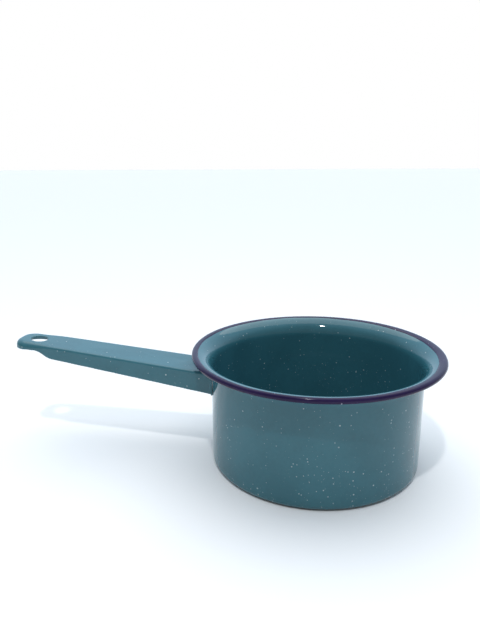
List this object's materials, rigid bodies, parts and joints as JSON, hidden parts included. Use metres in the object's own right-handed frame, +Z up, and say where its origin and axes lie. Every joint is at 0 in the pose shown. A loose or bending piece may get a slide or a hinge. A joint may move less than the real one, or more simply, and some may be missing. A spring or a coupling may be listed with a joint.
{
  "type": "candle melting pot",
  "caption": "Small enamelled steel saucepan with a rolled rim and a hollow pressed handle with a hang hole, for melting wax.",
  "frame": {"origin": "middle of the pot's base, on the surface that the pot stands on", "axes": "+Z up along the pot's axis; the handle points along -X"},
  "size_m": [0.2987, 0.168, 0.078],
  "materials": {
    "teal_enamel": "gloss",
    "navy_enamel": "gloss",
    "weld_steel": "satin"
  },
  "bodies": {
    "root": {"pot_body": "teal_enamel", "rim_enamel": "navy_enamel", "handle": "teal_enamel", "spot_welds": "weld_steel"}
  },
  "joints": []
}
